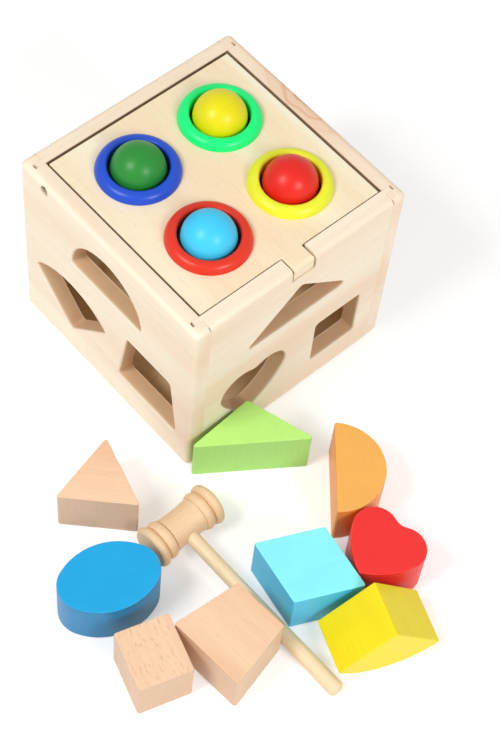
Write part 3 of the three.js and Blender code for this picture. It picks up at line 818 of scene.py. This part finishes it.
@dataclass
class Piece:
    """One visible piece: the node it stands for, its body, its slot, its finish and how it is placed.

    A piece with a profile is turned about its own Z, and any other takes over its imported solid.
    """

    node: str
    body: str
    slot: str
    finish: Finish
    placed: Matrix = field(default_factory=lambda: Matrix.Identity(4))
    profile: Profile = field(default_factory=list)
    sides: int = 96
    crease: float = 32.0
    has_flats: bool = True

    def form(self, frame: dict[str, Any]) -> bmesh.types.BMesh:
        """The piece's mesh, in its own frame."""
        return turned(self.profile, self.sides) if self.profile else solid_of(frame, self.node, self.placed)

    def set_down(self, frame: dict[str, Any]) -> bpy.types.Object:
        """Builds the piece, dresses it and hands it to its body.

        Args:
            frame: The loaded model.

        Returns:
            The piece's object.
        """
        bm = self.form(frame)
        bmesh.ops.recalc_face_normals(bm, faces=bm.faces)
        bm.transform(self.placed.to_3x3().to_4x4())
        mesh = bpy.data.meshes.new(f"{self.node}_look")
        bm.to_mesh(mesh)
        bm.free()
        mesh.shade_smooth()
        mesh.set_sharp_from_angle(angle=math.radians(self.crease))
        mesh.materials.append(self.finish.material(self.placed))
        piece = bpy.data.objects.new(f"{self.node}_look", mesh)
        bpy.context.scene.collection.objects.link(piece)
        piece.location = self.placed.translation
        if self.has_flats:
            even = piece.modifiers.new("even_faces", "WEIGHTED_NORMAL")
            even.keep_sharp = True
        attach(piece, self.body)
        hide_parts(self.node)
        LOG.info("%s: %d faces, on %s", piece.name, len(mesh.polygons), self.body)
        return piece


class SubAssembly:
    """A part of the object, which lists its pieces and is built in that order."""

    def pieces(self) -> list[Piece]:
        """Lists the pieces with their finishes."""
        raise NotImplementedError

    def build(self, frame: dict[str, Any]) -> list[bpy.types.Object]:
        """Builds and dresses the pieces."""
        return [piece.set_down(frame) for piece in self.pieces()]


@dataclass
class BoxShell(SubAssembly):
    """The box: four walls, the bottom panel and the hinge pins."""

    body: str = "box"
    width: float = 150 * MM
    depth: float = 147 * MM
    wall_ring: float = 8.5 * MM
    pin_ring: float = 2 * MM
    knot: Knot = Knot((76 * MM, 10 * MM, 132 * MM), (1.0, 0.5, 1.0))

    CREAM: ClassVar[dict[str, str]] = {"early": "FFF3DC", "late": "F6D5B4"}
    PEACH: ClassVar[dict[str, str]] = {"early": "FFEED6", "late": "F2C9A4"}

    def wall(self, side: str, grain: Grain, heart: Triple, *marks: Dressing, **shades: str) -> Piece:
        """Chooses a wall's wood.

        Args:
            side: Which wall it is.
            grain: The axis that its grain follows.
            heart: Where the heart of its trunk is.
            *marks: Its knot, and the painted shade of its cuts and inner face.
            **shades: Its early and late wood.

        Returns:
            The wall's piece.
        """
        node = f"{side}_wall"
        wood = WoodFinish(
            f"{node}_wood", grain=grain, heart=heart, marks=marks, worn_and_sheen="FFF4E2", figure=0.8,
            flecks=0.06, ring_width=self.wall_ring, bump=0.3, **shades,
        )
        return Piece(node, self.body, "box_wood", wood)

    def pin(self, side: str) -> Piece:
        """Chooses a hinge pin's wood, darkened as painted shade for the recess it sits in."""
        # Dark brown wood: painted shade of the pin's recess.
        wood = WoodFinish(f"{side}_pin_shaded_wood", early="5C4228", late="3E2B18", ring_width=self.pin_ring)
        return Piece(f"hinge_pin_{side}", self.body, "dowel_wood", wood)

    def pieces(self) -> list[Piece]:
        """Lists the boards and pins with their finishes.

        Returns:
            The pieces, in the order that they are built.
        """
        half_w, half_d = self.width / 2, self.depth / 2
        # Each wall's cuts and inner face take painted shade, which is strongest near the top by the lid's
        # gap.
        left = Cut((1, 0, 0), -half_w, (0, 1, 0), half_d)
        right = Cut((-1, 0, 0), -half_w, (0, 1, 0), half_d)
        front = Cut((0, 1, 0), -half_d, (1, 0, 0), half_w)
        back = Cut((0, -1, 0), -half_d, (1, 0, 0), half_w)
        bottom = WoodFinish("bottom_board_wood", early="F2D8B0", late="DDB483", heart=(0.0, 0.1, -0.1))
        return [
            self.wall("left", Grain.DEEP, (0.02, 0.21, 0.03), left, **self.CREAM),
            self.wall("right", Grain.DEEP, (0.0, -0.23, 0.1), self.knot, right, **self.PEACH),
            self.wall("front", Grain.ACROSS, (0.0, -0.2, 0.19), front, **self.CREAM),
            self.wall("back", Grain.ACROSS, (0.0, 0.17, 0.02), back, **self.CREAM),
            Piece("bottom_panel", self.body, "bottom_ply", bottom),
            self.pin("left"),
            self.pin("right"),
        ]


@dataclass
class KnockLid(SubAssembly):
    """The lid with its rings, grips and balls."""

    body: str = "lid"
    ball_radius: float = 15.3 * MM
    ball_start: float = -88.0
    ball_pip: float = 0.5 * MM
    ball_steps: int = 60
    ball_sides: int = 80
    bore: float = 17.0 * MM
    sleeve: float = 18.7 * MM
    flange: float = 23.8 * MM
    flange_lip: float = 0.5 * MM
    flange_rise: float = 5.2 * MM
    flange_fullness: float = 0.76
    flange_edge: float = 1.5 * MM
    seat_gap: float = 0.1 * MM
    lid_thick: float = 9.5 * MM
    lid_top: float = 134.0 * MM
    lid_ring: float = 11 * MM
    tab_end: float = 73.5 * MM
    snap_out: float = 0.8 * MM
    snap_tail: float = 2.6 * MM
    snap_gap: float = 0.3 * MM
    groove: float = 17.65 * MM
    groove_half: float = 1.75 * MM
    grip_middle: float = 15.9 * MM
    grip_radius: float = 1.5 * MM
    grip_drop: float = 4.5 * MM
    grip_steps: int = 20
    sides: int = 96
    dome_steps: int = 16
    edge_steps: int = 10

    RINGS: ClassVar[dict[str, str]] = {
        "green": "10FC86", "blue": "1E50D0", "yellow": "F2F632", "red": "E8341C",
    }
    BALLS: ClassVar[dict[str, str]] = {
        "yellow": "F2E60E", "green": "288E34", "red": "EC261A", "light_blue": "44D2FF",
    }

    def panel(self) -> Piece:
        """Chooses the wood of the lid's board.

        Returns:
            The board's piece.
        """
        # The lid's edges and underside take painted shade, so that the gap round the lid looks dark.
        cut = Cut(
            (0, 0, -1), -self.lid_top, (0, 1, 0), self.tab_end, thickness=self.lid_thick,
            top=2 * self.lid_top, toast="A67E54", inner_share=0.15,
        )
        wood = WoodFinish(
            "lid_wood", grain=Grain.DEEP, early="FFFAE0", late="F9DCB5", worn_and_sheen="FFF6E2",
            heart=(0.0, 0.05, -0.16), ring_width=self.lid_ring, figure=1.0, flecks=0.05, marks=(cut,),
        )
        return Piece("lid_panel", self.body, "lid_wood", wood)

    def ring_profile(self) -> Profile:
        """The section of a snap-in ring, its seat at height 0.

        Returns:
            The closed profile.
        """
        under = -self.lid_thick
        tail = under - self.snap_tail
        snap = self.sleeve + self.snap_out
        edge, rise = self.flange_edge, self.flange_rise
        groove_top, groove_foot = self.groove_half - self.grip_drop, -self.groove_half - self.grip_drop
        crown = Vector((self.bore + edge, rise, 0.0))
        lip = Vector((self.flange, self.flange_lip, 0.0))
        shoulder = crown.lerp(Vector((self.flange, rise, 0.0)), self.flange_fullness)
        shares = [i / self.dome_steps for i in range(self.dome_steps)]
        dome = [lip.lerp(shoulder, share).lerp(shoulder.lerp(crown, share), share) for share in shares]
        return [
            (self.bore, tail), (self.sleeve, tail), (snap, under - self.snap_tail / 2),
            (snap, under - self.snap_gap), (self.sleeve, under - self.snap_gap),
            (self.sleeve, self.seat_gap), (self.flange, self.seat_gap),
            *((point.x, point.y) for point in dome),
            *bow((self.bore + edge, rise - edge), edge, 90, 180, self.edge_steps),
            (self.bore, groove_top), (self.groove, groove_top),
            (self.groove, groove_foot), (self.bore, groove_foot), (self.bore, tail),
        ]

    def ring(self, name: str, tint: str) -> list[Piece]:
        """Turns a ring and the elastic grip inside it.

        Args:
            name: The ring's colour.
            tint: That colour as written for a shader.

        Returns:
            The ring's and the grip's pieces.
        """
        node = f"ring_{name}"
        centre = middle_of(node)
        seat = Matrix.Translation((centre.x, centre.y, self.lid_top))
        skin = MouldedFinish(f"{node}_plastic", tint=tint, gloss=0.3, worn_and_sheen=tint, rub_and_sheen=0.2, bump=0.08)
        rubber = MouldedFinish("grip_rubber", tint="4A4640", gloss=0.55, worn_and_sheen="5A5650", rub_and_sheen=0.1)
        section = bow((self.grip_middle, -self.grip_drop), self.grip_radius, 0, 360, self.grip_steps)
        return [
            Piece(node, self.body, node, skin, seat, self.ring_profile(), self.sides),
            Piece(f"grip_{name}", self.body, "grip_rubber", rubber, seat, section, self.sides),
        ]

    def ball(self, name: str, paint: str) -> Piece:
        """Turns a ball with the small mark that the lathe's centre leaves.

        Args:
            name: The ball's colour.
            paint: That colour as written for a shader.

        Returns:
            The ball's piece.
        """
        node = f"ball_{name}"
        half = bow((0.0, 0.0), self.ball_radius, self.ball_start, 90, self.ball_steps)
        profile = [(0.0, half[0][1] + self.ball_pip), *half[:-1], (0.0, self.ball_radius)]
        coat = PaintFinish(f"{node}_paint", paint=paint, gloss=0.32, coat=0.05, bump=0.04, rub_and_sheen=0.0)
        spot = Matrix.Translation(middle_of(node))
        return Piece(node, f"{name}_ball", node, coat, spot, profile, self.ball_sides, has_flats=False)

    def pieces(self) -> list[Piece]:
        """Lists the lid and all that it carries.

        Returns:
            The pieces, in the order that they are built.
        """
        rings = [piece for name, tint in self.RINGS.items() for piece in self.ring(name, tint)]
        balls = [self.ball(name, paint) for name, paint in self.BALLS.items()]
        return [self.panel(), *rings, *balls]


@dataclass
class Mallet(SubAssembly):
    """The turned mallet, lying on its head's caps and the end of its handle."""

    body: str = "mallet"
    heading: float = 1.7
    head_length: float = 46.0 * MM
    cap: float = 12.7 * MM
    cap_length: float = 6.2 * MM
    groove: float = 9.4 * MM
    bead: float = 11.8 * MM
    bead_length: float = 6.4 * MM
    neck: float = 10.5 * MM
    waist: float = 9.8 * MM
    face_dome: float = 0.5 * MM
    handle_length: float = 126.0 * MM
    handle: float = 4.1 * MM
    grip: float = 4.7 * MM
    tip_round: float = 2.6 * MM
    past_axis: float = 4.0 * MM
    head_ring: float = 3.5 * MM
    handle_ring: float = 3 * MM
    waist_steps: int = 12
    bead_steps: int = 16
    cap_steps: int = 18
    swell_steps: int = 20
    tip_steps: int = 8
    head_sides: int = 80
    handle_sides: int = 48
    crease: float = 50.0

    @property
    def own_frame(self) -> Matrix:
        """Where the mallet's own frame lies.

        Returns:
            The frame, with the head along X and the handle along -Y.
        """
        dip = math.asin((self.cap - self.grip) / (self.handle_length - self.tip_round))
        spot = Matrix.Translation(middle_of("mallet_head"))
        return spot @ Matrix.Rotation(math.radians(self.heading), 4, "Z") @ Matrix.Rotation(dip, 4, "X")

    def bulge(self, start: float, stop: float, crown: float, steps: int) -> Profile:
        """Gives the points of a round swelling between two grooves.

        Args:
            start: Where along the head it starts.
            stop: Where it stops.
            crown: Its radius at the middle.
            steps: How many chords it has.

        Returns:
            The swelling's points, both ends included.
        """
        rise = crown - self.groove
        return [
            (self.groove + rise * math.sqrt(max(0.0, 1 - (2 * s - 1) ** 2)), start + (stop - start) * s)
            for s in (i / steps for i in range(steps + 1))
        ]

    def head_profile(self) -> Profile:
        """The head's radius along its length, from one end face to the other.

        Returns:
            The profile.
        """
        end = self.head_length / 2
        cap_at = end - self.cap_length
        bead_at = cap_at - self.bead_length
        shares = [i / self.waist_steps for i in range(self.waist_steps + 1)]
        # The domed face has dropped by a quarter of its dome halfway out to its rim.
        half = [
            *((self.waist + (self.neck - self.waist) * share**2, bead_at * share) for share in shares),
            *self.bulge(bead_at, cap_at, self.bead, self.bead_steps),
            *self.bulge(cap_at, end, self.cap, self.cap_steps)[1:-1],
            (self.groove, end - self.face_dome), (self.groove / 2, end - self.face_dome / 4), (0.0, end),
        ]
        return [(radius, -along) for radius, along in reversed(half[1:])] + half

    def handle_profile(self) -> Profile:
        """The handle's radius along its length, from inside the head to the rounded tip.

        Returns:
            The profile.
        """
        start, stop = self.cap, self.handle_length - self.tip_round
        swell = [
            (self.handle + (self.grip - self.handle) * share, start + (stop - start) * share)
            for share in (i / self.swell_steps for i in range(self.swell_steps))
        ]
        tip = bow((self.grip - self.tip_round, stop), self.tip_round, 0, 90, self.tip_steps)
        inside = -self.past_axis
        return [(0.0, inside), (self.handle, inside), *swell, *tip, (0.0, self.handle_length)]

    def pieces(self) -> list[Piece]:
        """Turns the head and the handle.

        Returns:
            The two pieces.
        """
        along_x = self.own_frame @ Matrix.Rotation(QUARTER_TURN, 4, "Y")
        down_y = self.own_frame @ Matrix.Rotation(QUARTER_TURN, 4, "X")
        turning = {"grain": Grain.UPRIGHT, "figure": 0.55, "bump": 0.35}
        head = WoodFinish(
            "mallet_head_wood", early="F6D5AC", late="DDAA7C", worn_and_sheen="FFE8CC", heart=(0.0, 0.03, 0.01),
            ring_width=self.head_ring, flecks=0.06, **turning,
        )
        handle = WoodFinish(
            "mallet_handle_wood", early="F2DCB6", late="DAB382", worn_and_sheen="FBE9CC", heart=(0.0, 0.02, 0.0),
            ring_width=self.handle_ring, flecks=0.1, **turning,
        )
        made = (
            ("mallet_head", "mallet_wood", head, along_x, self.head_profile(), self.head_sides),
            ("mallet_handle", "handle_wood", handle, down_y, self.handle_profile(), self.handle_sides),
        )
        return [Piece(node, self.body, *rest, crease=self.crease) for node, *rest in made]


@dataclass
class Blocks(SubAssembly):
    """The nine blocks as they lie on the floor."""

    bare_ring: float = 6 * MM

    HEADINGS: ClassVar[dict[str, float]] = {
        "flat_triangle": -34.4, "even_triangle": -45.8, "trapezoid": -86.0, "rectangle": -17.2,
        "oval": -19.5, "rhombus": -25.0, "heart": -80.2, "semicircle": 228.7, "quarter": -111.2,
    }

    def bare(self, name: str, heart: Triple, grain: Grain, flecks: float) -> tuple[str, Finish]:
        """Chooses a bare block's wood.

        Args:
            name: Which block it is.
            heart: Where the heart of its trunk is.
            grain: The axis that its grain follows.
            flecks: How flecked it is.

        Returns:
            Its slot and finish.
        """
        # The sides of bare blocks take a darker colour: painted shade.
        wood = WoodFinish(
            f"{name}_wood", heart=heart, grain=grain, flecks=flecks, early="FAD5B3", late="EAB791",
            worn_and_sheen="FFE6D0", ring_width=self.bare_ring, figure=0.9, side="E2BE9E",
        )
        return "block_bare", wood

    def painted(self, name: str, paint: str, side: str) -> tuple[str, Finish]:
        """Chooses a block's satin paint.

        Args:
            name: The colour's name.
            paint: The colour of its faces.
            side: The painted shade of its sawn sides, or nothing where they are like the faces.

        Returns:
            Its slot and finish.
        """
        coat = PaintFinish(
            f"{name}_paint", paint=paint, side=side, gloss=0.36, coat=0.05, bump=0.2, rub_and_sheen=0.22
        )
        return f"block_{name}", coat

    def finishes(self) -> dict[str, tuple[str, Finish]]:
        """Lists each block's slot and finish.

        Returns:
            Slot and finish by block.
        """
        # Each paint's second colour is the painted shade of its sawn sides.
        return {
            "flat_triangle": self.painted("green", "C2F882", "B0E878"),
            "even_triangle": self.bare("even_triangle", (0.0, 0.03, -0.09), Grain.ACROSS, 0.06),
            "trapezoid": self.bare("trapezoid", (0.0, -0.02, -0.07), Grain.ACROSS, 0.06),
            "rectangle": self.bare("rectangle", (0.0, 0.05, 0.03), Grain.DEEP, 0.36),
            "oval": self.painted("blue", "1AAAE6", "027EB4"),
            "rhombus": self.painted("light_blue", "90F8FF", "46C6F8"),
            "heart": self.painted("red", "F43433", "EC2A24"),
            "semicircle": self.painted("orange", "F9B65B", "FA9A46"),
            "quarter": self.painted("yellow", "FCE60E", ""),
        }

    def pieces(self) -> list[Piece]:
        """Lists the blocks, each in its own frame so that its grain follows its heading.

        Returns:
            The pieces, in the order that they are built.
        """
        made = []
        for name, (slot, finish) in self.finishes().items():
            node = f"block_{name}"
            heading = Matrix.Rotation(math.radians(self.HEADINGS[name]), 4, "Z")
            lie = Matrix.Translation(middle_of(node)) @ heading
            made.append(Piece(node, f"{name}_block", slot, finish, lie))
        return made


@dataclass(frozen=True)
class Lamp:
    """A square lamp: where it hangs, its power in watts and its side."""

    name: str
    place: Triple
    power: float
    size: float = 0.55

    def hang(self, target: Triple) -> None:
        """Hangs the lamp.

        Args:
            target: The point that it faces.
        """
        data = bpy.data.lights.new(self.name, "AREA")
        data.size = self.size
        data.energy = self.power
        lamp = bpy.data.objects.new(self.name, data)
        lamp.location = self.place
        aim = Vector(target) - Vector(self.place)
        lamp.rotation_euler = aim.to_track_quat("-Z", "Y").to_euler()
        bpy.context.scene.collection.objects.link(lamp)


@dataclass
class Studio:
    """The pale floor, the soft light and the camera."""

    floor_size: float = 6.0
    floor_level: float = -0.2 * MM
    floor_grey: float = 0.84
    floor_roughness: float = 0.7
    floor_glow: float = 0.36
    glow_span: Range = (0.5, 1.6)
    ambient: float = 0.42
    left: Lamp = Lamp("left", (-1.1, 0.15, 1.34), 13.4)
    front: Lamp = Lamp("front", (-0.12, -1.44, 1.08), 11.4)
    azimuth: float = -47.693
    elevation: float = 58.018
    roll: float = 7.386
    distance: float = 1013.55 * MM
    target: Triple = (-33.242 * MM, -74.738 * MM, 60.0 * MM)
    focal_pixels: float = 1839.535
    image_height: int = 748
    sensor: float = 36.0
    sight: float = 20.0

    def floor(self) -> None:
        """Lays a pale floor that keeps the shadows and fades to white away from the object."""
        half = self.floor_size / 2
        mesh = bpy.data.meshes.new("floor")
        ends = ((-half, -half), (half, -half), (half, half), (-half, half))
        mesh.from_pydata([(x, y, self.floor_level) for x, y in ends], [], [(0, 1, 2, 3)])
        floor = bpy.data.objects.new("floor", mesh)
        bpy.context.scene.collection.objects.link(floor)
        material = bpy.data.materials.new("floor_paper")
        material.use_nodes = True
        bench = NodeBench(material.node_tree)
        away = bench.length(bench.put("ShaderNodeTexCoord").outputs["Object"])
        glow = bench.plus(self.floor_glow, bench.span(away, self.glow_span), 1.0 - self.floor_glow)
        paper = {
            "Base Color": (self.floor_grey, self.floor_grey, self.floor_grey, 1.0),
            "Roughness": self.floor_roughness,
            "Emission Color": WHITE,
            "Emission Strength": bench.times(self._seen(bench), glow),
        }
        shader = bench.put("ShaderNodeBsdfPrincipled", paper)
        bench.put("ShaderNodeOutputMaterial", {"Surface": shader.outputs[0]})
        mesh.materials.append(material)

    @staticmethod
    def _seen(bench: NodeBench) -> Socket:
        """Tells rays that show the background from rays that light the object.

        Args:
            bench: The tree that asks.

        Returns:
            A socket that is 1 for camera, glossy and transmission rays.
        """
        path = bench.put("ShaderNodeLightPath").outputs
        direct = bench.sum("MAXIMUM", path["Is Camera Ray"], path["Is Glossy Ray"])
        return bench.sum("MAXIMUM", direct, path["Is Transmission Ray"])

    def light(self) -> None:
        """Hangs a lamp at the left and one in front, in an even white surround."""
        world = bpy.data.worlds.new("studio")
        bpy.context.scene.world = world
        world.use_nodes = True
        bench = NodeBench(world.node_tree)
        lit = bench.put("ShaderNodeBackground", {"Color": WHITE, "Strength": self.ambient}).outputs[0]
        shown = bench.put("ShaderNodeBackground", {"Color": WHITE, "Strength": 1.0}).outputs[0]
        mixed = bench.put("ShaderNodeMixShader", {0: self._seen(bench), 1: lit, 2: shown})
        bench.put("ShaderNodeOutputWorld", {"Surface": mixed.outputs[0]})
        for lamp in (self.left, self.front):
            lamp.hang(self.target)

    def camera(self) -> None:
        """Sets the camera at the photograph's angle."""
        turn, lift, lean = (math.radians(v) for v in (self.azimuth, self.elevation, self.roll))
        back = Vector((math.sin(turn) * math.cos(lift), -math.cos(turn) * math.cos(lift), math.sin(lift)))
        level = Vector((math.cos(turn), math.sin(turn), 0.0))
        rise = back.cross(level)
        right = level * math.cos(lean) + rise * math.sin(lean)
        up = rise * math.cos(lean) - level * math.sin(lean)
        data = bpy.data.cameras.new("camera")
        data.sensor_width = self.sensor
        data.lens = self.focal_pixels * self.sensor / self.image_height
        data.clip_end = self.sight
        camera = bpy.data.objects.new("camera", data)
        axes = Matrix((right, up, back)).transposed().to_4x4()
        camera.matrix_world = Matrix.Translation(Vector(self.target) + back * self.distance) @ axes
        bpy.context.scene.collection.objects.link(camera)
        bpy.context.scene.camera = camera

    def build(self) -> None:
        """Sets up the floor, the light and the camera."""
        bpy.context.scene.view_settings.view_transform = "Standard"
        self.floor()
        self.light()
        self.camera()
        LOG.info("studio: floor, lamps and camera")


def main() -> None:
    """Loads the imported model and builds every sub-assembly."""
    logging.basicConfig(level=logging.INFO, format="%(name)s %(message)s")
    for start_object in list(bpy.data.objects):
        bpy.data.objects.remove(start_object)
    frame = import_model()
    parts = (BoxShell(), KnockLid(), Mallet(), Blocks())
    pieces = [piece for part in parts for piece in part.build(frame)]
    Studio().build()
    bpy.context.view_layer.update()
    LOG.info("%d pieces", len(pieces))


if __name__ == "__main__":
    main()
